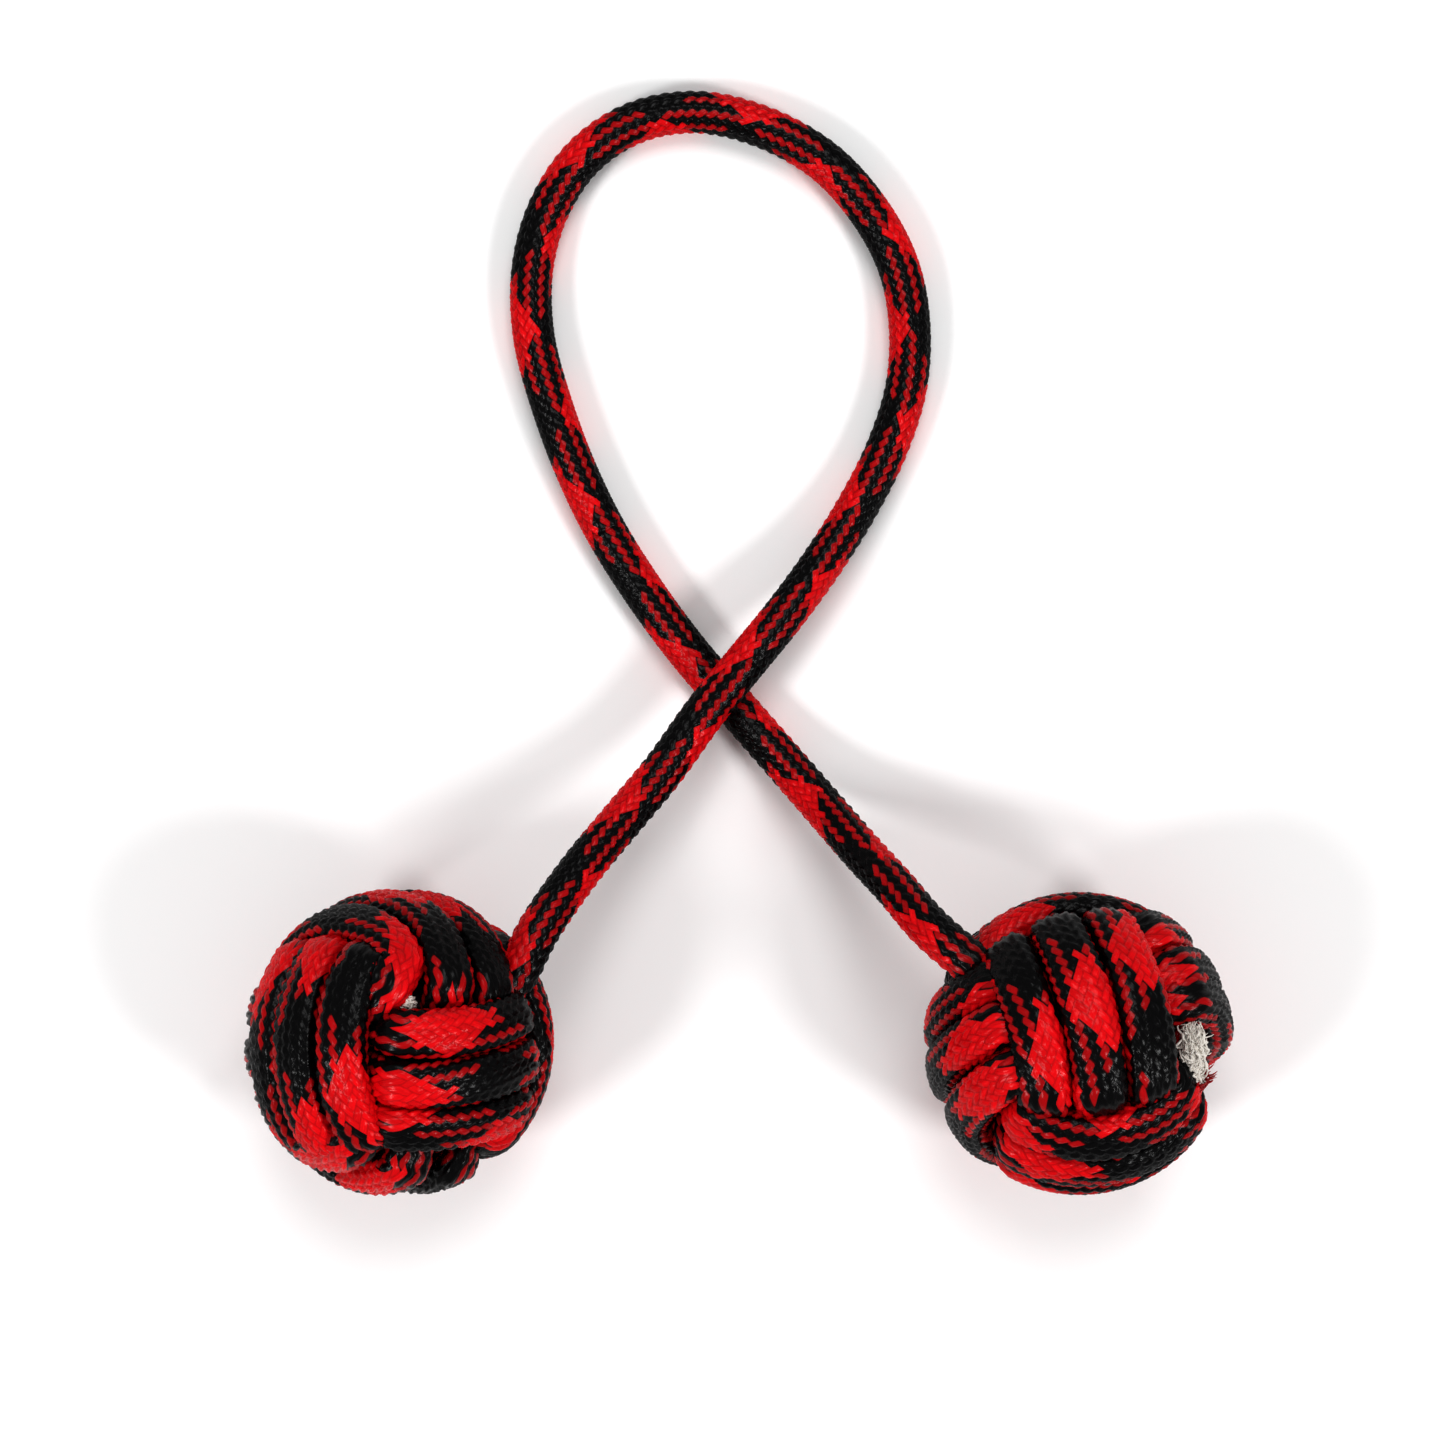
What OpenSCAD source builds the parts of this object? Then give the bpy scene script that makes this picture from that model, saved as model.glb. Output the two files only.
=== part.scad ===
// Begleri: two monkey's fist knots joined by one free length of braided cord.
// The whole object is one continuous cord tied around two core balls. Here that
// cord is divided into the turns of each knot, its two tucked ends, and the
// lengths of free cord between the places where it bends.
// It lies on z = 0. The origin is on the surface, midway between the two fists.

/* [Cord] */
// Diameter of the cord where it runs free
cord_d = 4; // [3.6:0.1:4.1]
// Clearance between two lengths of cord that bend against each other
bend_gap = 0.3; // [0.2:0.05:0.5]
// Diameter of one inner yarn, bare where the cord is cut
yarn_d = 0.8; // [0.6:0.1:0.9]

/* [Fists] */
// Distance between the middles of the two fists
fist_spacing = 62.4; // [61:0.2:66]
// Diameter of the core ball that each fist is tied around
core_d = 16; // [15:0.5:16]
// Radius of the middle of a turn where its band lies on top
outer_r = 12.95; // [12.9:0.05:13.4]
// Radius of the middle of a turn where its band passes underneath
inner_r = 9.65; // [9.6:0.05:9.7]
// Thickness of a turn, pressed flat against the ball
turn_t = 3; // [2.6:0.1:3]
// Width of a turn on top
turn_w = 4.4; // [3.8:0.1:4.5]
// Width of a turn underneath, where it is squeezed
tucked_w = 3.7; // [3.2:0.1:3.8]
// Distance between neighbouring turns of a band on top
turn_pitch = 4.8; // [4.6:0.05:5]
// Distance between neighbouring turns of a band underneath
tucked_pitch = 4; // [3.9:0.05:4.1]

/* [Hidden] */

cord_r = cord_d / 2;
fist_h = outer_r + turn_t / 2;
left_middle = [-fist_spacing / 2, 0, fist_h];
right_middle = [fist_spacing / 2, 0, fist_h];
left_turned = [70, -37, -176];
right_turned = [23, -68, 81];

// A turn leaves its outer path this far from its band's middle, and has reached
// its inner path at the second angle.
dive_start = 38;
dive_end = 56;
turn_rings = 36;
turn_sides = 8;

// Cord colours
red = [0.78, 0.04, 0.08];
dark_red = [0.5, 0.03, 0.06];
black = [0.07, 0.07, 0.08];
yarn_white = [0.8, 0.78, 0.73];
steel = [0.6, 0.61, 0.63];

// The middle line of the free cord, from inside the left fist, over the crossing,
// round the loop and back under the crossing into the right fist.
ROUTE = [
    [-23.5, 3.5, 16.5], [-20.8, 5.6, 17], [-18.2, 10.6, 15.8], [-14.6, 15.8, 12.8],
    [-10.9, 20.3, 10], [-7, 25, 7.8], [-3.2, 30.3, 6.7], [0.6, 35, 6.5],
    [4.5, 39.8, 5.4], [8.2, 44.9, 3.6], [11.5, 50.2, 2.4], [14.2, 55.6, 2],
    [16, 61.4, 2], [16.3, 67.4, 2], [15.2, 73, 2], [12.4, 78.2, 2],
    [8.2, 82.8, 2], [2.6, 86, 2], [-3.6, 87.5, 2], [-9.6, 86.6, 2],
    [-14.6, 83.4, 2], [-18, 78.4, 2], [-19.6, 72.6, 2], [-19.5, 66.4, 2],
    [-18, 60.4, 2], [-15.6, 53.8, 2], [-12.6, 47.6, 2], [-8.8, 41.6, 2],
    [-4.8, 36.2, 2], [-0.6, 31.3, 2.1], [3.6, 26.5, 2.9], [7.6, 21.9, 5.2],
    [11.4, 17.5, 9.6], [14.4, 14.2, 13.6], [17.2, 10.9, 16.8], [20.4, 8.1, 18.6],
    [23.2, 6.2, 18.6]
];
// Places along the route, counted in its points
route_start = 0;
left_bend = 2;
left_leg_split = 7;
lift_bend = 12;
crown_split = 15;
open_bend = 18;
right_leg_split = 26;
right_bend = 34;
route_end = 36;
tube_sides = 8;
// The knot's corners, in each fist's own frame, that hold the cut ends
left_cut_corner = [1, 1, 1];
right_cut_corner = [1, -1, 1];
cut_end_d = 3.4;
cut_end_h = 2.8;
cut_end_foot = 10.2;
sheath_t = 0.45;
yarn_out = 0.6;
HALF_BALL = [30, 60, 82];

// ---- vectors and curves ----

function unit(v) = v / norm(v);

function blend(low, high, x) = low + (high - low) * x;

function smooth(x) = let (c = min(max(x, 0), 1)) c * c * (3 - 2 * c);

// A route point, continued straight past either end
function route_point(i) =
    i < 0 ? 2 * ROUTE[0] - ROUTE[1] :
    i > len(ROUTE) - 1 ? 2 * ROUTE[len(ROUTE) - 1] - ROUTE[len(ROUTE) - 2] :
    ROUTE[i];

// The smooth curve through the route's points, at place s
function route_at(s) =
    let (
        i = min(floor(s), len(ROUTE) - 2), u = s - i,
        a = route_point(i - 1), b = route_point(i),
        c = route_point(i + 1), d = route_point(i + 2)
    )
    (2 * b + (c - a) * u + (2 * a - 5 * b + 4 * c - d) * u * u
        + (3 * b - 3 * c + d - a) * u * u * u) / 2;

function route_direction(s) = unit(route_at(s + 0.02) - route_at(s - 0.02));

// The place that is a distance along the cord after place s
function place_after(s, distance) = s + distance / norm(route_at(s + 0.5) - route_at(s)) / 2;

// One ring of points round a middle point, square to a direction
function ring(middle, direction, radius, sides) =
    let (side = unit(cross(direction, [0, 0, 1])), up = cross(side, direction))
    [for (k = [0:sides - 1])
        middle + radius * (side * cos(360 * k / sides) + up * sin(360 * k / sides))];

// ---- swept solids ----

// A closed tube from a list of rings, each with the same number of points
module swept(rings) {
    sides = len(rings[0]);
    last = len(rings) - 1;
    walls = [for (i = [0:last - 1]) for (k = [0:sides - 1])
        [i * sides + k, i * sides + (k + 1) % sides,
         (i + 1) * sides + (k + 1) % sides, (i + 1) * sides + k]];
    near_end = [[for (k = [sides - 1:-1:0]) k]];
    far_end = [[for (k = [0:sides - 1]) last * sides + k]];
    polyhedron([for (r = rings) each r], concat(walls, near_end, far_end), convexity = 4);
}

// A closed loop of rings, such as one turn round a ball
module swept_loop(rings) {
    sides = len(rings[0]);
    count = len(rings);
    walls = [for (i = [0:count - 1]) for (k = [0:sides - 1])
        [i * sides + k, i * sides + (k + 1) % sides,
         ((i + 1) % count) * sides + (k + 1) % sides, ((i + 1) % count) * sides + k]];
    polyhedron([for (r = rings) each r], walls, convexity = 6);
}

// A length of free cord between two places. An end at a bend is a half ball about
// the bend (near_ball or far_ball), or is flat and stands clear of that ball.
module cord_length(from, to, near_ball = false, far_ball = false, near_clear = false,
                   far_clear = false) {
    near = near_clear ? place_after(from, cord_r + bend_gap) : from;
    far = far_clear ? 2 * to - place_after(to, cord_r + bend_gap) : to;
    steps = max(2, round((far - near) * 1.2));
    body = [for (i = [0:steps])
        let (s = blend(near, far, i / steps))
        ring(route_at(s), route_direction(s), cord_r, tube_sides)];
    near_cap = [for (a = HALF_BALL)
        ring(route_at(near) - route_direction(near) * cord_r * sin(a),
             route_direction(near), cord_r * cos(a), tube_sides)];
    far_cap = [for (a = HALF_BALL)
        ring(route_at(far) + route_direction(far) * cord_r * sin(a),
             route_direction(far), cord_r * cos(a), tube_sides)];
    swept(concat(
        near_ball ? [for (i = [len(near_cap) - 1:-1:0]) near_cap[i]] : [],
        body,
        far_ball ? far_cap : []));
}

// ---- the fists ----

// How far a turn is on top, from 1 on its outer path to 0 underneath
function on_top(a) =
    let (fold = a % 180, away = min(fold, 180 - fold))
    1 - smooth((away - dive_start) / (dive_end - dive_start));

// The middle line of a turn in its band's own frame: the band runs round the
// y axis and lies on top where it meets the x axis
function turn_at(a, index) =
    let (
        top = on_top(a),
        shift = index * blend(tucked_pitch, turn_pitch, top),
        r = blend(inner_r, outer_r, top),
        flat_r = sqrt(r * r - shift * shift)
    )
    [flat_r * cos(a), shift, flat_r * sin(a)];

function turn_ring(a, index) =
    let (
        p = turn_at(a, index),
        along = unit(turn_at(a + 1, index) - turn_at(a - 1, index)),
        across = unit(cross(along, p)),
        out = cross(across, along),
        w = blend(tucked_w, turn_w, on_top(a)) / 2
    )
    [for (k = [0:turn_sides - 1])
        let (q = 360 * (k + 0.5) / turn_sides)
        p + across * w * cos(q) / cos(180 / turn_sides)
          + out * turn_t / 2 * sin(q) / cos(180 / turn_sides)];

module turn(index) {
    swept_loop([for (i = [0:turn_rings - 1]) turn_ring(360 * i / turn_rings + 360, index)]);
}

// The three bands: each is the first one with its axes moved round one place
module first_band(index) { turn(index); }

module second_band(index) {
    multmatrix([[0, 0, 1, 0], [1, 0, 0, 0], [0, 1, 0, 0]]) turn(index);
}

module third_band(index) {
    multmatrix([[0, 1, 0, 0], [0, 0, 1, 0], [1, 0, 0, 0]]) turn(index);
}

module in_left_fist() { translate(left_middle) rotate(left_turned) children(); }

module in_right_fist() { translate(right_middle) rotate(right_turned) children(); }

module left_core() { color(steel) in_left_fist() sphere(d = core_d, $fn = 64); }

module right_core() { color(steel) in_right_fist() sphere(d = core_d, $fn = 64); }

// ---- the cut ends, each tucked into a corner where three bands meet ----

// Points its children out through a corner of the knot, from between the turns
module in_corner(corner) {
    yaw = atan2(corner[1], corner[0]);
    lean = acos(corner[2] / norm(corner));
    rotate([0, lean, yaw]) translate([0, 0, cut_end_foot]) children();
}

// The sheath of the tucked end, cut square
module cut_end() {
    difference() {
        cylinder(d = cut_end_d, h = cut_end_h, $fn = 32);
        translate([0, 0, -1]) cylinder(d = cut_end_d - 2 * sheath_t, h = cut_end_h + 2, $fn = 32);
    }
}

// Seven bare inner yarns: one in the middle and six round it
module cut_yarns() {
    cylinder(d = yarn_d, h = cut_end_h + yarn_out, $fn = 16);
    for (k = [0:5])
        rotate(60 * k) translate([yarn_d + 0.04, 0, 0])
            cylinder(d = yarn_d, h = cut_end_h + yarn_out * (k % 2 == 0 ? 0.6 : 1), $fn = 16);
}

module left_cut_end() { color(red) in_left_fist() in_corner(left_cut_corner) cut_end(); }

module left_cut_yarns() { color(yarn_white) in_left_fist() in_corner(left_cut_corner) cut_yarns(); }

module right_cut_end() { color(red) in_right_fist() in_corner(right_cut_corner) cut_end(); }

module right_cut_yarns() { color(yarn_white) in_right_fist() in_corner(right_cut_corner) cut_yarns(); }

// ---- the free cord, in lengths that meet face to face or at a bend ----

// The first length comes out of the left fist and the last goes into the right one
module left_neck() { color(red) cord_length(route_start, left_bend, far_ball = true); }

module left_leg_lower() { color(dark_red) cord_length(left_bend, left_leg_split, near_clear = true); }

module left_leg_upper() { color(black) cord_length(left_leg_split, lift_bend, far_ball = true); }

module loop_right() { color(red) cord_length(lift_bend, crown_split, near_clear = true); }

module loop_crown() { color(dark_red) cord_length(crown_split, open_bend, far_ball = true); }

module loop_left() { color(black) cord_length(open_bend, right_leg_split, near_clear = true); }

module right_leg() { color(dark_red) cord_length(right_leg_split, right_bend, far_clear = true); }

module right_neck() { color(red) cord_length(right_bend, route_end, near_ball = true); }

left_core();
right_core();
left_cut_end();
left_cut_yarns();
right_cut_end();
right_cut_yarns();
left_neck();
left_leg_lower();
left_leg_upper();
loop_right();
loop_crown();
loop_left();
right_leg();
right_neck();
for (k = [1:3]) {
    color(k == 2 ? dark_red : red) in_left_fist() first_band(k - 2);
    color(k == 2 ? black : red) in_left_fist() second_band(k - 2);
    color(k == 2 ? red : black) in_left_fist() third_band(k - 2);
    color(k == 2 ? dark_red : red) in_right_fist() first_band(k - 2);
    color(k == 2 ? black : red) in_right_fist() second_band(k - 2);
    color(k == 2 ? red : black) in_right_fist() third_band(k - 2);
}
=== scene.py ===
"""The looks of a begleri: one red and black braided cord with a monkey's fist at each end.

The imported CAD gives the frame: the cores, the turns of each fist and the route of the free cord.
This script dresses it. Every length of cord is a mesh whose surface follows the sheath's own braid,
thread by thread, and one material colours the threads from the same braid coordinates.
"""

import bpy
import numpy as np
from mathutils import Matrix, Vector


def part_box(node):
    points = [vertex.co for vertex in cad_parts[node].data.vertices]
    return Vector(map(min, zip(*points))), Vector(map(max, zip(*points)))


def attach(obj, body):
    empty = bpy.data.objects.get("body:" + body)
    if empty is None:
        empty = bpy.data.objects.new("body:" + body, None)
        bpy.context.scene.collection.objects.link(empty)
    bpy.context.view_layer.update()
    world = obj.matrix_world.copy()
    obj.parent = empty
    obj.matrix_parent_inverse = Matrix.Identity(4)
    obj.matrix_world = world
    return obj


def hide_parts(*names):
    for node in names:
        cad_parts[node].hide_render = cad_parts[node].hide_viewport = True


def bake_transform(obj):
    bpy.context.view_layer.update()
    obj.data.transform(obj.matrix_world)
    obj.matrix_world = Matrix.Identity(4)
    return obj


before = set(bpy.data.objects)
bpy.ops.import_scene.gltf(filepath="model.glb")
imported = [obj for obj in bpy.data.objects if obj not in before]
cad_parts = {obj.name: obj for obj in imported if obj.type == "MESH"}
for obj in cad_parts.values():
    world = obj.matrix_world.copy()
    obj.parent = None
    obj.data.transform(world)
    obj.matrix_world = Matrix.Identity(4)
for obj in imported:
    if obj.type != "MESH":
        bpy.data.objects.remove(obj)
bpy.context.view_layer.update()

MM = 0.001
rng = np.random.default_rng(7)

# ---------------------------------------------------------------- the camera

LOOK_AT = (-1.5 * MM, 29.4 * MM, 2 * MM)
CAMERA_HEIGHT = 348 * MM  # above the place it looks at
VIEW_WIDTH = 137.6 * MM  # how much of that place the picture takes in
SENSOR_WIDTH = 36


def make_camera():
    """Straight above the surface, with the fists at the bottom of the picture."""
    data = bpy.data.cameras.new("camera")
    data.sensor_width = SENSOR_WIDTH
    data.lens = data.sensor_width * CAMERA_HEIGHT / VIEW_WIDTH
    data.clip_start = 0.01
    camera = bpy.data.objects.new("camera", data)
    camera.location = (LOOK_AT[0], LOOK_AT[1], LOOK_AT[2] + CAMERA_HEIGHT)
    bpy.context.scene.collection.objects.link(camera)
    bpy.context.scene.camera = camera


# ---------------------------------------------------------------- the sheath's braid

# The sheath has this many threads winding each way, and one winding takes BRAID_PITCH along the cord.
THREADS = 16
BRAID_PITCH = 17.3 * MM
CELL = BRAID_PITCH / THREADS
STEPS = 4  # rings and points to a cell of the braid
AROUND = THREADS * STEPS
RELIEF = 0.3 * MM  # how far the middle of a thread stands above the grooves
AT_SIZE = 0.85  # the part of the relief that lies below the cord's own size
SECTION_ASPECT = 1.45  # how wide a squared section is beside its height
SECTION_SAMPLES = 4001


def unit(v):
    return v / np.linalg.norm(v, axis=-1, keepdims=True)


def smooth(x):
    x = np.clip(x, 0, 1)
    return x * x * (3 - 2 * x)


def braid_height(a, b):
    """The height of the sheath, from 0 in a groove to 1 on a thread, at braid coordinates a, b.

    a counts cells round the cord and b counts cells along it. Each thread runs over two threads
    of the other set and then under two, half of them winding one way and half the other.
    """
    first, second = a + b, a - b
    i, j = np.floor(first), np.floor(second)
    turn = np.mod(i + j, 4)
    on_first = turn < 2
    across = np.where(on_first, first - i, second - j)
    along = (np.where(on_first, second - j, first - i) + np.mod(turn, 2)) / 2
    return (1 - (2 * across - 1) ** 2) * (1 - np.abs(2 * along - 1) ** 3)


def section(turns, squareness):
    """The cosine and sine of a squared oval, at places round it in equal steps of its own length."""
    q = np.linspace(0, 2 * np.pi, SECTION_SAMPLES)
    c, s = np.cos(q), np.sin(q)
    c, s = np.sign(c) * np.abs(c) ** squareness, np.sign(s) * np.abs(s) ** squareness
    length = np.concatenate([[0], np.cumsum(np.hypot(np.diff(c) * SECTION_ASPECT, np.diff(s)))])
    place = np.mod(turns, 1) * length[-1]
    return np.interp(place, length, c), np.interp(place, length, s)


def mesh_object(name, points, faces):
    """A mesh from a list of points and one or more arrays of faces, each with its own corner count."""
    mesh = bpy.data.meshes.new(name)
    mesh.vertices.add(len(points))
    mesh.vertices.foreach_set("co", np.asarray(points, np.float32).ravel())
    corners = np.concatenate([f.ravel() for f in faces]).astype(np.int32)
    counts = np.concatenate([np.full(len(f), f.shape[1]) for f in faces])
    mesh.loops.add(len(corners))
    mesh.polygons.add(len(counts))
    mesh.loops.foreach_set("vertex_index", corners)
    starts = np.concatenate([[0], np.cumsum(counts)[:-1]]).astype(np.int32)
    mesh.polygons.foreach_set("loop_start", starts)
    mesh.polygons.foreach_set("use_smooth", np.full(len(counts), True))
    mesh.update(calc_edges=True)
    obj = bpy.data.objects.new(name, mesh)
    bpy.context.scene.collection.objects.link(obj)
    return obj


def braided_tube(name, middle, side, up, half_side, half_up, b, roll, squareness=None, closed=False,
                 cap=False):
    """A tube of braid along a line. middle, side and up are its points and cross directions, and
    half_side and half_up its half sizes. b is the braid coordinate of each ring and roll how far
    the pattern is turned round the cord there. A closed tube's b and roll have one value more,
    for its first ring when it comes round again.
    """
    rings = len(middle)
    a = np.arange(AROUND) / STEPS
    turns = a[None, :] / THREADS + roll[:rings, None]
    if squareness is None:
        c, s = np.cos(2 * np.pi * turns), np.sin(2 * np.pi * turns)
    else:
        c, s = section(turns, squareness)
    lift = RELIEF * (braid_height(a[None, :], b[:rings, None]) - AT_SIZE)
    ring = (middle[:, None, :]
            + side[:, None, :] * (c * (half_side[:, None] + lift))[..., None]
            + up[:, None, :] * (s * (half_up[:, None] + lift))[..., None])
    spans = len(b) - 1
    r, k = np.meshgrid(np.arange(spans), np.arange(AROUND), indexing="ij")
    again = round((roll[-1] - roll[0]) * AROUND) if closed else 0
    shift = np.where(r + 1 == rings, again, 0)
    near, far = r * AROUND, (r + 1) % rings * AROUND
    faces = np.stack([near + k, near + (k + 1) % AROUND,
                      far + (k + 1 + shift) % AROUND, far + (k + shift) % AROUND], -1).reshape(-1, 4)
    circle = np.arange(AROUND)[None]
    ends = [circle[:, ::-1], (rings - 1) * AROUND + circle] if cap else []
    tube = mesh_object(name, ring.reshape(-1, 3), [faces, *ends])
    corners = ((0, 0), (1, 0), (1, 1), (0, 1))
    uv = [np.stack([(k + dk) / STEPS, b[r + dr]], -1) for dk, dr in corners]
    uv = np.stack(uv, -2).reshape(-1, 2)
    full = np.zeros((len(tube.data.loops), 2), np.float32)
    full[:len(uv)] = uv
    tube.data.uv_layers.new(name="braid").data.foreach_set("uv", full.ravel())
    return tube


# ---------------------------------------------------------------- the free cord

CORD_R = 2 * MM
# The middle line of the free cord, as in part.scad: from inside the left fist, over the crossing,
# round the loop and back under the crossing into the right fist.
ROUTE = np.array([
    (-23.5, 3.5, 16.5), (-20.8, 5.6, 17), (-18.2, 10.6, 15.8), (-14.6, 15.8, 12.8),
    (-10.9, 20.3, 10), (-7, 25, 7.8), (-3.2, 30.3, 6.7), (0.6, 35, 6.5),
    (4.5, 39.8, 5.4), (8.2, 44.9, 3.6), (11.5, 50.2, 2.4), (14.2, 55.6, 2),
    (16, 61.4, 2), (16.3, 67.4, 2), (15.2, 73, 2), (12.4, 78.2, 2),
    (8.2, 82.8, 2), (2.6, 86, 2), (-3.6, 87.5, 2), (-9.6, 86.6, 2),
    (-14.6, 83.4, 2), (-18, 78.4, 2), (-19.6, 72.6, 2), (-19.5, 66.4, 2),
    (-18, 60.4, 2), (-15.6, 53.8, 2), (-12.6, 47.6, 2), (-8.8, 41.6, 2),
    (-4.8, 36.2, 2), (-0.6, 31.3, 2.1), (3.6, 26.5, 2.9), (7.6, 21.9, 5.2),
    (11.4, 17.5, 9.6), (14.4, 14.2, 13.6), (17.2, 10.9, 16.8), (20.4, 8.1, 18.6),
    (23.2, 6.2, 18.6),
]) * MM
# The places along the route, in its points, where it bends and where one length meets the next
LEFT_SPLIT, CROWN_SPLIT, RIGHT_SPLIT = 7, 15, 26
ROUTE_STEPS = 60

# At places along the route: where the braid's pattern starts, in its own lengths, and how far it is
# rolled round the cord, in turns.
PATTERN = [(0, 0.42, -0.05), (4, 0.36, -0.05), (9, 0.24, 0), (15, 0.18, 0), (18, 0.16, 0.05),
           (28, 0.15, 0.05), (31, 0.08, 0.08), (33, -0.04, 0.05), (36, -0.15, 0)]


def route_at(place):
    """The smooth curve through the route's points, as in part.scad."""
    place = np.atleast_1d(np.asarray(place, float))
    padded = np.vstack([2 * ROUTE[0] - ROUTE[1], ROUTE, 2 * ROUTE[-1] - ROUTE[-2]])
    i = np.clip(np.floor(place).astype(int), 0, len(ROUTE) - 2)
    u = (place - i)[:, None]
    a, b, c, d = (padded[i + k] for k in range(4))
    return (2 * b + (c - a) * u + (2 * a - 5 * b + 4 * c - d) * u ** 2
            + (3 * b - 3 * c + d - a) * u ** 3) / 2


fine_places = np.linspace(0, len(ROUTE) - 1, (len(ROUTE) - 1) * ROUTE_STEPS + 1)
fine_points = route_at(fine_places)
fine_along = np.concatenate([[0], np.cumsum(np.linalg.norm(np.diff(fine_points, axis=0), axis=1))])
pattern_places, pattern_starts, pattern_rolls = zip(*PATTERN)
fine_b = fine_along / CELL + THREADS * np.interp(fine_places, pattern_places, pattern_starts)


def cord_frame(distance):
    """Middle, side and up directions of the free cord at distances along it."""
    place = np.interp(distance, fine_along, fine_places)
    middle = route_at(place)
    direction = unit(route_at(place + 0.02) - route_at(place - 0.02))
    side = unit(np.cross(direction, [0, 0, 1]))
    return middle, side, np.cross(side, direction), place


def make_cord_piece(name, start_place, end_place):
    """One length of the free cord, and the points of its middle line. Its rings fall on the braid's
    own grid, so that two lengths that meet share a ring and the pattern runs on."""
    first, last = (round(float(np.interp(p, fine_places, fine_b)) * STEPS)
                   for p in (start_place, end_place))
    b = np.arange(first, last + 1) / STEPS
    middle, side, up, place = cord_frame(np.interp(b, fine_b, fine_along))
    half = np.full(len(b), CORD_R)
    piece = braided_tube(name, middle, side, up, half, half, b,
                         np.interp(place, pattern_places, pattern_rolls), cap=True)
    return piece, middle


def add_free_cord(name, start, end, nodes):
    """A length of the free cord, in place of the CAD nodes that it hides."""
    piece, middle = make_cord_piece(name, start, end)
    line = middle[::STEPS]
    if len(middle) % STEPS != 1:
        line = np.vstack([line, middle[-1:]])
    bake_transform(piece)
    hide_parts(*nodes)
    piece.data.materials.append(sheath)


# ---------------------------------------------------------------- materials

RED = (0.7, 0.004, 0.0095)
BLACK = (0.0026, 0.0023, 0.0027)
CREASE_SHADE = 0.75  # painted shade: how light the creases between threads are painted, for the shade that falls in them
SINGLE_RED_SHADE = 0.6  # painted shade: how light a red thread is painted where it crosses black ones, for the red light they don't bounce onto it
SINGLE_END_SHADE = 0.1  # and how light its ends are painted beside that, for the shade where they dive under
THREAD_SHADES = (0.22, 0.84)  # how much the threads differ in lightness, and the darkest
FIBRE_STREAKS = (0.5, 0.75)  # the same for the fibres along a thread
FIBRES_ACROSS, FIBRES_ALONG = 6.5, 0.8  # how fine the fibres are, to a thread's width
FIBRE_GLOSS = (0.2, 0.15)  # how much their roughness differs, and the smoothest


class Nodes:
    """A short way to write a material's nodes."""

    def __init__(self, name):
        self.material = bpy.data.materials.new(name)
        self.material.use_nodes = True
        self.tree = self.material.node_tree
        self.shader = self.tree.nodes["Principled BSDF"]

    def add(self, kind, **settings):
        node = self.tree.nodes.new(kind)
        for key, value in settings.items():
            setattr(node, key, value)
        return node

    def put(self, socket, value):
        if isinstance(value, bpy.types.NodeSocket):
            self.tree.links.new(value, socket)
        else:
            socket.default_value = value

    def math(self, operation, *values):
        node = self.add("ShaderNodeMath", operation=operation)
        for socket, value in zip(node.inputs, values):
            self.put(socket, value)
        return node.outputs[0]

    def mix(self, factor, low, high):
        node = self.add("ShaderNodeMix", data_type="RGBA")
        self.put(node.inputs["Factor"], factor)
        self.put(node.inputs["A"], (*low, 1) if isinstance(low, tuple) else low)
        self.put(node.inputs["B"], (*high, 1) if isinstance(high, tuple) else high)
        return node.outputs["Result"]

    def choose(self, factor, low, high):
        node = self.add("ShaderNodeMix", data_type="FLOAT")
        self.put(node.inputs[0], factor)
        self.put(node.inputs[2], low)
        self.put(node.inputs[3], high)
        return node.outputs[0]

    def ramp(self, value, low, high):
        node = self.add("ShaderNodeMapRange", interpolation_type="SMOOTHSTEP")
        self.put(node.inputs["Value"], value)
        node.inputs["From Min"].default_value = low
        node.inputs["From Max"].default_value = high
        return node.outputs["Result"]

    def set(self, **values):
        for key, value in values.items():
            self.put(self.shader.inputs[key.replace("_", " ")], value)


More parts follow.
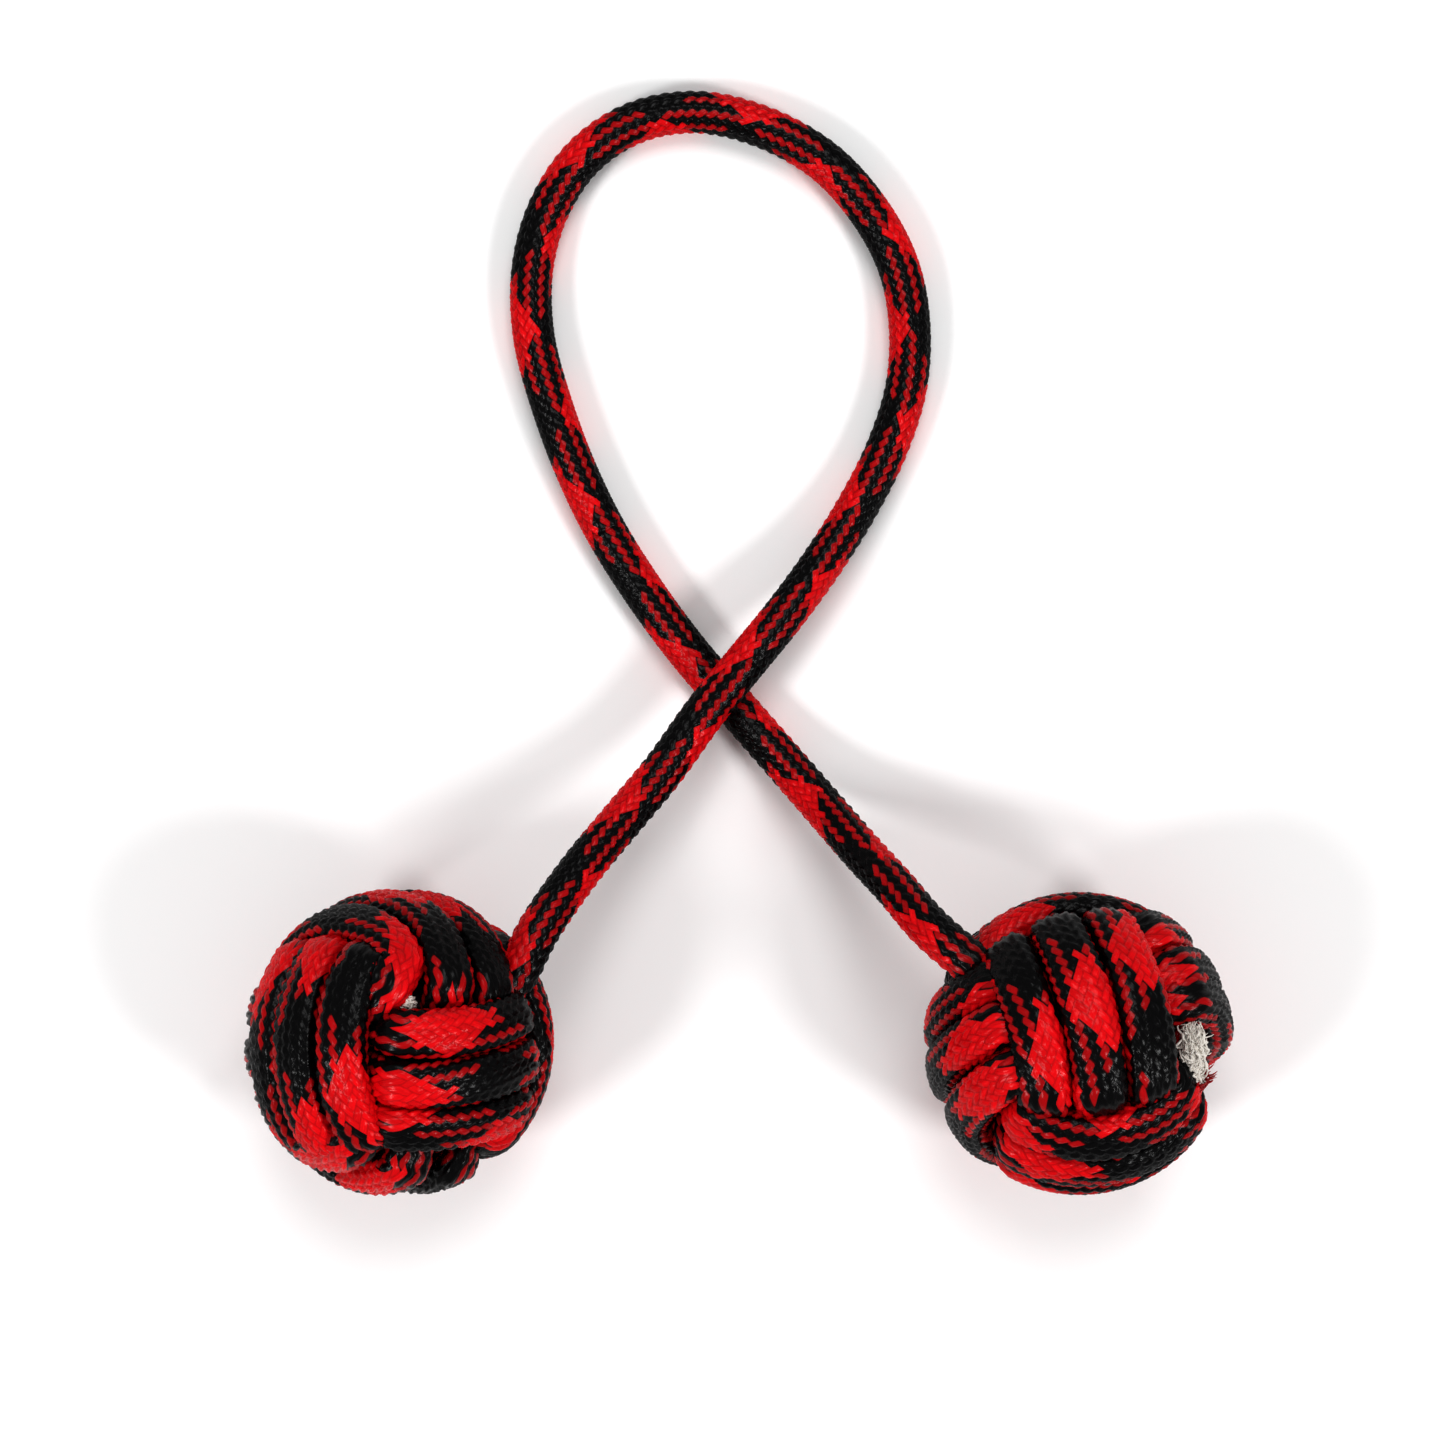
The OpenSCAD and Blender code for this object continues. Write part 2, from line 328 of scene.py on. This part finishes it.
def braid_material():
    """Red and black nylon threads, coloured from the braid coordinates that each mesh carries."""
    n = Nodes("braided_sheath")
    uv = n.add("ShaderNodeUVMap", uv_map="braid")
    xyz = n.add("ShaderNodeSeparateXYZ")
    n.put(xyz.inputs[0], uv.outputs[0])
    first = n.math("ADD", xyz.outputs[0], xyz.outputs[1])
    second = n.math("SUBTRACT", xyz.outputs[0], xyz.outputs[1])
    i, j = n.math("FLOOR", first), n.math("FLOOR", second)
    turn = n.math("FLOORED_MODULO", n.math("ADD", i, j), 4)
    on_first = n.math("LESS_THAN", turn, 1.5)
    half = THREADS / 2
    first_red = n.math("LESS_THAN", n.math("FLOORED_MODULO", n.math("ADD", i, 0.5), THREADS), half)
    second_red = n.math("LESS_THAN",
                        n.math("FLOORED_MODULO", n.math("ADD", j, half + 0.5), THREADS), half)
    red = n.choose(on_first, second_red, first_red)
    part_first, part_second = n.math("FRACT", first), n.math("FRACT", second)
    across = n.choose(on_first, part_second, part_first)
    other = n.choose(on_first, part_first, part_second)
    later = n.math("FLOORED_MODULO", turn, 2)
    along = n.math("MULTIPLY", n.math("ADD", other, later), 0.5)
    off_middle = n.math("ABSOLUTE", n.math("MULTIPLY_ADD", across, 2, -1))
    off_end = n.math("ABSOLUTE", n.math("MULTIPLY_ADD", along, 2, -1))
    side = n.math("SUBTRACT", 1, n.math("POWER", off_middle, 2.2))
    ends = n.math("SUBTRACT", 1, n.math("POWER", off_end, 4))
    crown = n.math("MULTIPLY", side, ends)
    # Each thread's own shade, and the fibres that run along it
    own = n.add("ShaderNodeTexWhiteNoise", noise_dimensions="2D")
    key = n.add("ShaderNodeCombineXYZ")
    n.put(key.inputs[0], n.choose(on_first, n.math("MULTIPLY_ADD", j, 7, 31), i))
    n.put(key.inputs[1], n.math("FLOOR", n.math("MULTIPLY", n.choose(on_first, first, second), 0.25)))
    n.put(own.inputs["Vector"], key.outputs[0])
    fibre_place = n.add("ShaderNodeCombineXYZ")
    n.put(fibre_place.inputs[0], n.math("MULTIPLY", n.choose(on_first, second, first), FIBRES_ACROSS))
    n.put(fibre_place.inputs[1], n.math("MULTIPLY", n.choose(on_first, first, second), FIBRES_ALONG))
    n.put(fibre_place.inputs[2], n.math("MULTIPLY", on_first, 9))
    fibres = n.add("ShaderNodeTexNoise")
    n.put(fibres.inputs["Vector"], fibre_place.outputs[0])
    n.put(fibres.inputs["Scale"], 1.0)
    n.put(fibres.inputs["Detail"], 3.0)
    n.put(fibres.inputs["Roughness"], 0.6)
    shade = n.math("MULTIPLY_ADD", own.outputs["Value"], *THREAD_SHADES)
    streak = n.math("MULTIPLY_ADD", fibres.outputs["Fac"], *FIBRE_STREAKS)
    # Painted shade: the creases between threads are darkened for the shade that falls in them
    painted_crease_shade = n.choose(n.ramp(crown, 0, 0.6), CREASE_SHADE, 1.0)
    light = n.math("MULTIPLY", n.math("MULTIPLY", shade, streak), painted_crease_shade)
    # Painted shade: a red thread that crosses only black ones is painted darker than one in a red
    # patch, darkest at its ends where they dive under, so it looks shorter
    crossed = n.choose(on_first, n.math("SUBTRACT", i, later),
                       n.math("ADD", n.math("SUBTRACT", j, later), half))
    in_patch = n.math("LESS_THAN",
                      n.math("FLOORED_MODULO", n.math("ADD", crossed, 1.5), THREADS), half + 1)
    reach = n.math("MULTIPLY_ADD", n.math("POWER", off_middle, 6), 0.2, off_end)
    bead_shade = n.choose(n.ramp(reach, 0.9, 0.7), SINGLE_END_SHADE * SINGLE_RED_SHADE, SINGLE_RED_SHADE)
    colour = n.mix(n.math("MULTIPLY", red, n.choose(in_patch, bead_shade, 1.0)), BLACK, RED)
    scaled = n.add("ShaderNodeVectorMath", operation="SCALE")
    n.put(scaled.inputs[0], colour)
    n.put(scaled.inputs["Scale"], light)
    rough = n.math("MULTIPLY_ADD", fibres.outputs["Fac"], *FIBRE_GLOSS)
    bump = n.add("ShaderNodeBump")
    bump.inputs["Strength"].default_value = 0.6
    bump.inputs["Distance"].default_value = 0.04 * MM
    n.put(bump.inputs["Height"], n.math("MULTIPLY_ADD", fibres.outputs["Fac"], 0.6, crown))
    n.set(Base_Color=scaled.outputs[0], Roughness=rough, Normal=bump.outputs[0],
          Specular_IOR_Level=0.18)
    return n.material


def thread_material(name, colour):
    """One loose thread of the sheath: fine fibres along it, a little lighter and darker."""
    n = Nodes(name)
    noise = n.add("ShaderNodeTexNoise")
    n.put(noise.inputs["Scale"], 1800.0)
    n.put(noise.inputs["Detail"], 3.0)
    dark = tuple(0.35 * c for c in colour)
    n.set(Base_Color=n.mix(noise.outputs["Fac"], dark, colour), Specular_IOR_Level=0.4,
          Roughness=n.math("MULTIPLY_ADD", noise.outputs["Fac"], 0.25, 0.25))
    return n.material


def steel_material():
    """The hidden core balls: plain steel, blackened."""
    n = Nodes("blackened_steel")
    noise = n.add("ShaderNodeTexNoise")
    n.put(noise.inputs["Scale"], 900.0)
    n.set(Base_Color=(0.1, 0.1, 0.105, 1), Metallic=1.0,
          Roughness=n.math("MULTIPLY_ADD", noise.outputs["Fac"], 0.2, 0.4))
    return n.material


def yarn_material():
    """Off-white inner yarn."""
    n = Nodes("inner_yarn")
    noise = n.add("ShaderNodeTexNoise")
    n.put(noise.inputs["Scale"], 2500.0)
    n.put(noise.inputs["Detail"], 4.0)
    n.set(Base_Color=n.mix(noise.outputs["Fac"], (0.6, 0.56, 0.51), (0.95, 0.92, 0.87)), Roughness=0.75,
          Specular_IOR_Level=0.3)
    return n.material


sheath = braid_material()
steel = steel_material()
yarn = yarn_material()
red_thread = thread_material("red_thread", (0.5, 0.004, 0.01))
black_thread = thread_material("black_thread", (0.008, 0.007, 0.008))

# ---------------------------------------------------------------- camera and cords first

make_camera()
add_free_cord("free_cord_left_lower", 0, LEFT_SPLIT,
              ["left_neck", "left_leg_lower"])
add_free_cord("free_cord_left_upper", LEFT_SPLIT, CROWN_SPLIT,
              ["left_leg_upper", "loop_right"])
add_free_cord("free_cord_crown", CROWN_SPLIT, RIGHT_SPLIT,
              ["loop_crown", "loop_left"])
add_free_cord("free_cord_right", RIGHT_SPLIT, len(ROUTE) - 1,
              ["right_leg", "right_neck"])

# ---------------------------------------------------------------- the fists

# A turn runs round its fist through four directions: on top, tucked under, on top, tucked under.
# The photographed fists are pulled tight unevenly, so each band has its own four.
BANDS = {
    "left": {
        "first": [(-0.65, 0, 0.76), (0, 1, 0.05), (0.93, 0.05, -0.37), (0, -0.99, 0.12)],
        "second": [(0.42, -0.2, 0.88), (-0.64, -0.12, 0.75), (-0.8, -0.05, -0.6), (0.93, 0.05, -0.37)],
        "third": [(0.22, 0.89, 0.4), (0.4, -0.25, 0.88), (-0.12, -0.88, 0.46), (-0.8, -0.05, -0.6)],
    },
    "right": {
        "first": [(-0.02, 0.27, 0.96), (0.1, -0.86, 0.49), (-0.1, -0.29, -0.95), (-0.3, 0.92, -0.25)],
        "second": [(-0.96, -0.15, 0.16), (0.05, 0.45, 0.88), (0.88, 0.42, -0.12), (-0.1, -0.29, -0.95)],
        "third": [(0.15, -0.86, 0.5), (-0.96, -0.2, 0.16), (-0.05, 0.93, -0.36), (0.9, 0.15, 0.05)],
    },
}
# How far apart a band's turns lie where they are on top, and how far out their middle lines are there
ON_TOP_PITCH = {"left": {"first": 4.65, "second": 4.3, "third": 4.4},
                "right": {"first": 4.85, "second": 4.4, "third": 4.6}}
ON_TOP_R = {"left": {"first": 12.55, "second": 12.55, "third": 12.5},
            "right": {"first": 12.6, "second": 12.6, "third": 12.2}}
TUCKED_PITCH, TUCKED_R = 3.9, 9.3
DIVE = (30, 46)  # degrees from the tucked directions, between which a turn comes out on top
TURN_THICK = 3.3
SQUARENESS = 0.7  # 1 is an oval and less is squarer
TURN_SAMPLES = 1441
UNEVEN = 0.02  # how much a turn's width wanders
# Some turns lie off their band's regular places: (degrees along the turn, mm sideways)
STRAYS = {
    ("left", "third", 1): [(90, 0), (120, -3.2), (150, -2.7), (180, -3), (210, -3), (250, 0)],
    ("left", "third", 2): [(130, 0), (160, -1.2), (205, -1.6), (240, 0)],
    ("left", "third", 3): [(0, 0), (30, -0.3), (42, 1.2), (55, 3.6), (80, 4.4), (120, 1.5),
                           (150, 0), (200, -0.4), (300, 0)],
    ("right", "second", 3): [(0, 0.3), (40, 0), (90, -0.4), (120, -1.9), (150, -1.6),
                             (180, -0.2), (240, 0), (290, 1.5), (315, 2), (340, 1.2)],
}
# Where a band runs far with nothing under it, its outer turns sink towards the core: (degrees, mm)
SINKS = {("left", "second"): [(195, 0), (218, 2.6), (245, 2.6), (260, 0)]}
# The braid's pattern on each turn: how far it is rolled round the cord and where it starts at the
# turn's first on-top direction, in turns and in its own lengths, its twist once round, and its
# length in mm
TURN_PATTERN = {
    ("left", "first", 1): (0.7, 0.85, 0.125, 18.5),
    ("left", "first", 2): (0.85, 0.7, 0, 17.3),
    ("left", "first", 3): (0.85, 0.45, -0.5, 18.8),
    ("left", "second", 1): (0.57, 0.55, 0, 18.5),
    ("left", "second", 2): (0.7, 0, -0.75, 17.3),
    ("left", "second", 3): (0.8, 0.25, -0.375, 17.3),
    ("left", "third", 1): (0.9, 0.45, -1, 17.3),
    ("left", "third", 2): (0.7, 0.55, 0.375, 17.3),
    ("left", "third", 3): (0.65, 0.05, -0.75, 17.3),
    ("right", "first", 1): (0.7, 0.55, 0.375, 17.3),
    ("right", "first", 2): (0.65, 0.3, -0.5, 17.3),
    ("right", "first", 3): (0.6, 0.1, -0.75, 17.3),
    ("right", "second", 1): (0.6, 0.3, -0.125, 17.3),
    ("right", "second", 2): (0.85, 0.85, -0.125, 17.3),
    ("right", "second", 3): (0.75, 0.9, 0, 17.3),
    ("right", "third", 1): (0.65, 0.9, 0.5, 18.5),
    ("right", "third", 2): (0.85, 0.95, 1, 18.5),
    ("right", "third", 3): (0.6, 0.75, 0.75, 18.5),
}


def turn_direction(corners, angle):
    """The direction from the fist's centre at an angle along a turn: a smooth ring through its four."""
    corners = unit(np.array(corners, float))
    place = np.mod(angle, 360) / 90
    i = np.floor(place).astype(int) % 4
    u = (place - np.floor(place))[:, None]
    a, b, c, d = (corners[(i + k) % 4] for k in (-1, 0, 1, 2))
    return unit(2 * b + (c - a) * u + (2 * a - 5 * b + 4 * c - d) * u ** 2
                + (3 * b - 3 * c + d - a) * u ** 3)


def turn_line(fist, band, number, angle):
    """The middle line of a turn, from the fist's centre in mm, and how far it is on top."""
    corners = BANDS[fist][band]
    out = turn_direction(corners, angle)
    ahead = unit(turn_direction(corners, angle + 0.5) - turn_direction(corners, angle - 0.5))
    across = unit(np.cross(ahead, out))
    tucked = unit(np.array([corners[1], corners[3]], float))
    near = np.degrees(np.arccos(np.clip((out @ tucked.T).max(-1), -1, 1)))
    top = smooth((near - DIVE[0]) / (DIVE[1] - DIVE[0]))
    shift = (number - 2) * (TUCKED_PITCH + (ON_TOP_PITCH[fist][band] - TUCKED_PITCH) * top)
    if (fist, band, number) in STRAYS:
        places, strays = zip(*STRAYS[fist, band, number])
        shift = shift + np.interp(angle, places, strays, period=360)
    r = TUCKED_R + (ON_TOP_R[fist][band] - TUCKED_R) * top
    if (fist, band) in SINKS and number != 2:
        places, sinks = zip(*SINKS[fist, band])
        r = np.maximum(TUCKED_R, r - np.interp(angle, places, sinks, period=360))
    return out * np.sqrt(r * r - shift * shift)[:, None] + across * shift[:, None], top


def fist_centre(fist):
    low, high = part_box(f"{fist}_core")
    return np.array((low + high) / 2)


def add_turn(fist, band, number):
    """One turn of a fist, in place of its CAD node. Its seam is at 270 degrees, tucked out of sight."""
    node = f"{fist}_{band}_turn_{number}"
    roll, start, twist, length = TURN_PATTERN[fist, band, number]
    fine = np.linspace(-90, 270, TURN_SAMPLES)
    line, _ = turn_line(fist, band, number, fine)
    run = np.concatenate([[0], np.cumsum(np.linalg.norm(np.diff(line, axis=0), axis=1))])
    cells = round(run[-1] / length * THREADS)
    rings = cells * STEPS
    step = np.arange(rings + 1) / STEPS
    angle = np.interp(step * run[-1] / cells, run, fine)
    b = THREADS * start + step - np.interp(0, fine, run) * cells / run[-1]
    middle, top = turn_line(fist, band, number, angle[:-1])
    direction = unit(turn_line(fist, band, number, angle[:-1] + 1)[0]
                     - turn_line(fist, band, number, angle[:-1] - 1)[0])
    side = unit(np.cross(direction, middle))
    up = np.cross(side, direction)
    # A hand-tied cord isn't equally wide all along
    wave, phase = rng.uniform(2, 5), rng.uniform(0, 2 * np.pi)
    uneven = 1 + UNEVEN * np.sin(np.radians(angle[:-1]) * round(wave) + phase)
    width = TUCKED_PITCH + 0.1 + (ON_TOP_PITCH[fist][band] + 0.05 - TUCKED_PITCH) * top
    piece = braided_tube(node + "_braid", middle * MM + fist_centre(fist), side, up,
                         width / 2 * uneven * MM, TURN_THICK / 2 * uneven * MM, b,
                         -(roll + twist * angle / 360), SQUARENESS, closed=True)
    piece.data.materials.append(sheath)
    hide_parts(node)
    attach(piece, f"{fist}_fist")


# ---------------------------------------------------------------- the cord's two cut ends

# From the fist's centre, in mm: where the cut end's sheath comes from under the turns, its mouth,
# and the middle and half sizes (across, along, out) of the tuft of inner yarns that has burst from it.
CUT_ENDS = {
    "left": dict(root=(0.8, 2.2, 6.6), mouth=(1.4, 3.9, 9.6), tuft=(1.6, 4.5, 11.2),
                 along=(0.8, 0.5, 0.3), sizes=(0.4, 0.5, 0.6), radius=1.1, ravel=0.5),
    "right": dict(root=(7.9, -6.0, 4.8), mouth=(9.2, -2.4, 6.9), tuft=(9.4, 0.7, 7.6),
                  along=(-0.1, 1, 0.05), sizes=(1.3, 2.3, 1.3), radius=1.8, ravel=1.1),
}
SHEATH_ROLL = 0.25  # how far the pattern is rolled round a cut end, in turns
MOUTH_FLARE, MOUTH_FLATNESS = 0.12, 0.9
TUBE_SIDES = 6
RAVELLED, RAVELLED_RINGS = 72, 12  # loose threads at a mouth, and points along each
RED_TO = 5  # how far round the mouth the loose threads are red, in radians; beyond, black
YARN_COUNT, YARN_RINGS = 200, 34  # in a tuft whose half sizes multiply to 1, and points along each


def tubes(name, lines, radii):
    """Many thin tubes in one mesh, each along its own line of points."""
    count, rings, _ = lines.shape
    sides = TUBE_SIDES
    direction = unit(np.gradient(lines, axis=1))
    reference = unit(rng.normal(size=(count, 1, 3)))
    side = unit(np.cross(direction, reference))
    up = np.cross(side, direction)
    angle = np.arange(sides) * 2 * np.pi / sides
    taper = np.ones(rings)
    taper[-3:] = (0.85, 0.6, 0.3)
    r = (radii[:, None] * taper)[:, :, None, None]
    points = (lines[:, :, None, :] + r * (side[:, :, None, :] * np.cos(angle)[:, None]
                                          + up[:, :, None, :] * np.sin(angle)[:, None]))
    t, i, k = np.meshgrid(np.arange(count), np.arange(rings - 1), np.arange(sides), indexing="ij")
    base = (t * rings + i) * sides
    faces = np.stack([base + k, base + (k + 1) % sides,
                      base + sides + (k + 1) % sides, base + sides + k], -1)
    first = np.arange(count)[:, None] * rings * sides + np.arange(sides)[::-1]
    last = (np.arange(count)[:, None] + 1) * rings * sides - sides + np.arange(sides)
    return mesh_object(name, points.reshape(-1, 3), [faces.reshape(-1, 4), first, last])


def curl(count, rings, size, waves):
    """Small smooth wanderings for many lines, growing from nothing at their first points."""
    t = np.linspace(0, 1, rings)[None, :, None]
    wander = np.zeros((count, rings, 3))
    for turn in (1, 1.9):
        wander += (rng.normal(size=(count, 1, 3)) / turn
                   * np.sin(2 * np.pi * waves * turn * t + rng.uniform(0, 2 * np.pi, (count, 1, 3))))
    return wander * size * np.minimum(1, t * 4)


def cut_frame(spec):
    """The cut end's root and mouth, its axis, and the tuft's own across, along and out directions."""
    root, mouth, tuft = (np.array(spec[key], float) for key in ("root", "mouth", "tuft"))
    out = unit(tuft)
    along = unit(np.array(spec["along"], float) - out * np.dot(spec["along"], out))
    return root, mouth, unit(mouth - root), tuft, np.stack([np.cross(along, out), along, out])


def add_cut_sheath(fist, spec):
    """The last few mm of sheath, with the braid running to its mouth."""
    root, mouth, axis, _, _ = cut_frame(spec)
    cells = round(np.linalg.norm(mouth - root) * MM / CELL * STEPS) / STEPS
    b = np.arange(int(cells * STEPS) + 1) / STEPS
    t = (b / b[-1])[:, None]
    side = unit(np.cross(axis, root))
    up = np.cross(side, axis)
    rings = len(b)
    flare = spec["radius"] * (1 + MOUTH_FLARE * t[:, 0] ** 3)
    piece = braided_tube(f"{fist}_cut_sheath", (root + (mouth - root) * t) * MM + fist_centre(fist),
                         np.tile(side, (rings, 1)), np.tile(up, (rings, 1)),
                         flare * MM, flare * MOUTH_FLATNESS * MM,
                         b + 1, np.full(rings, SHEATH_ROLL), cap=True)
    piece.data.materials.append(sheath)
    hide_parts(f"{fist}_cut_end")
    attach(piece, f"{fist}_fist")


def add_ravelled_threads(fist, spec):
    """Loose ends of the sheath's threads round the mouth, in both colours."""
    _, mouth, axis, _, _ = cut_frame(spec)
    side = unit(np.cross(axis, mouth))
    up = np.cross(side, axis)
    count, rings = RAVELLED, RAVELLED_RINGS
    angle = np.arange(count) * 2 * np.pi / count + rng.uniform(-0.04, 0.04, count)
    around = side * np.cos(angle)[:, None] + up * np.sin(angle)[:, None]
    length = spec["ravel"] * rng.uniform(0.5, 1.2, count)[:, None, None]
    t = np.linspace(-0.5, 1, rings)[None, :, None]
    open_out = around[:, None] * (0.95 * spec["radius"] + 0.5 * np.clip(t, 0, 1) ** 2 * length)
    lines = mouth + open_out + axis * t * length + curl(count, rings, 0.09, 1.2)
    for colour, material, chosen in (("red", red_thread, angle < RED_TO),
                                     ("black", black_thread, angle >= RED_TO)):
        piece = tubes(f"{fist}_ravelled_{colour}", lines[chosen] * MM + fist_centre(fist),
                      rng.uniform(0.06, 0.1, chosen.sum()) * MM)
        piece.data.materials.append(material)
        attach(piece, f"{fist}_fist")


def add_yarn_tuft(fist, spec):
    """The inner yarns: curly fibres that leave the mouth in a bundle and fill out the tuft."""
    _, mouth, axis, tuft, own = cut_frame(spec)
    sizes = np.array(spec["sizes"])
    count, rings = round(YARN_COUNT * float(np.prod(sizes)) ** 0.5), YARN_RINGS
    ball = unit(rng.normal(size=(count, 3))) * rng.uniform(0.35, 1, (count, 1)) ** 0.5
    ball[:, 2] = np.abs(ball[:, 2]) * 1.1 - 0.15
    aim = tuft + (ball * sizes) @ own
    spread = (unit(np.cross(rng.normal(size=(count, 3)), axis))
              * rng.uniform(0, 0.8, (count, 1)) * spec["radius"])
    start = mouth - axis * 0.8 + spread
    bend = mouth + axis * 0.8 + spread * 0.9
    t = np.linspace(0, 1, rings)[None, :, None]
    lines = ((1 - t) ** 2 * start[:, None] + 2 * t * (1 - t) * bend[:, None] + t ** 2 * aim[:, None]
             + curl(count, rings, 0.3, 2.4))
    piece = tubes(f"{fist}_yarn_tuft", lines * MM + fist_centre(fist),
                  rng.uniform(0.07, 0.13, count) * MM)
    piece.data.materials.append(yarn)
    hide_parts(f"{fist}_cut_yarns")
    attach(piece, f"{fist}_fist")


for fist in BANDS:
    for band in BANDS[fist]:
        for number in (1, 2, 3):
            add_turn(fist, band, number)
    add_cut_sheath(fist, CUT_ENDS[fist])
    add_ravelled_threads(fist, CUT_ENDS[fist])
    add_yarn_tuft(fist, CUT_ENDS[fist])
    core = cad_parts[f"{fist}_core"]
    core.data.materials.clear()
    core.data.materials.append(steel)

# ---------------------------------------------------------------- the floor and the light


FLOOR_HALF = 3.0
FLOOR_WHITE = (0.93, 0.93, 0.93, 1)
SKY_STRENGTH = 0.42
GAMMA = 0.75
LIT_PLACE = (0, 0.03, 0)
# Where each softbox stands, its size and its power
SOFTBOXES = {
    "left_softbox": ((-0.42, -0.22, 0.5), 0.16, 1.9),
    "right_softbox": ((0.42, -0.22, 0.5), 0.16, 1.9),
    "top_softbox": ((0.05, 0.4, 0.7), 0.4, 2.2),
}


def make_floor():
    """A plain pale floor at the height the cord lies on."""
    s = FLOOR_HALF
    mesh = bpy.data.meshes.new("floor")
    mesh.from_pydata([(-s, -s, 0), (s, -s, 0), (s, s, 0), (-s, s, 0)], [], [(0, 1, 2, 3)])
    floor = bpy.data.objects.new("floor", mesh)
    bpy.context.scene.collection.objects.link(floor)
    n = Nodes("floor_white")
    n.set(Base_Color=FLOOR_WHITE, Roughness=0.7)
    mesh.materials.append(n.material)


def add_softbox(name, place, size, power):
    data = bpy.data.lights.new(name, "AREA")
    data.shape = "DISK"
    data.size = size
    data.energy = power
    light = bpy.data.objects.new(name, data)
    light.location = place
    aim = Vector(LIT_PLACE) - Vector(place)
    light.rotation_euler = aim.to_track_quat("-Z", "Y").to_euler()
    bpy.context.scene.collection.objects.link(light)


def make_light():
    """An even white surround and three softboxes, in the photograph's tones."""
    world = bpy.data.worlds.new("studio")
    world.use_nodes = True
    background = world.node_tree.nodes["Background"]
    background.inputs["Color"].default_value = (1, 1, 1, 1)
    background.inputs["Strength"].default_value = SKY_STRENGTH
    bpy.context.scene.world = world
    for name, (place, size, power) in SOFTBOXES.items():
        add_softbox(name, place, size, power)
    bpy.context.scene.view_settings.view_transform = "Standard"
    bpy.context.scene.view_settings.gamma = GAMMA


make_floor()
make_light()
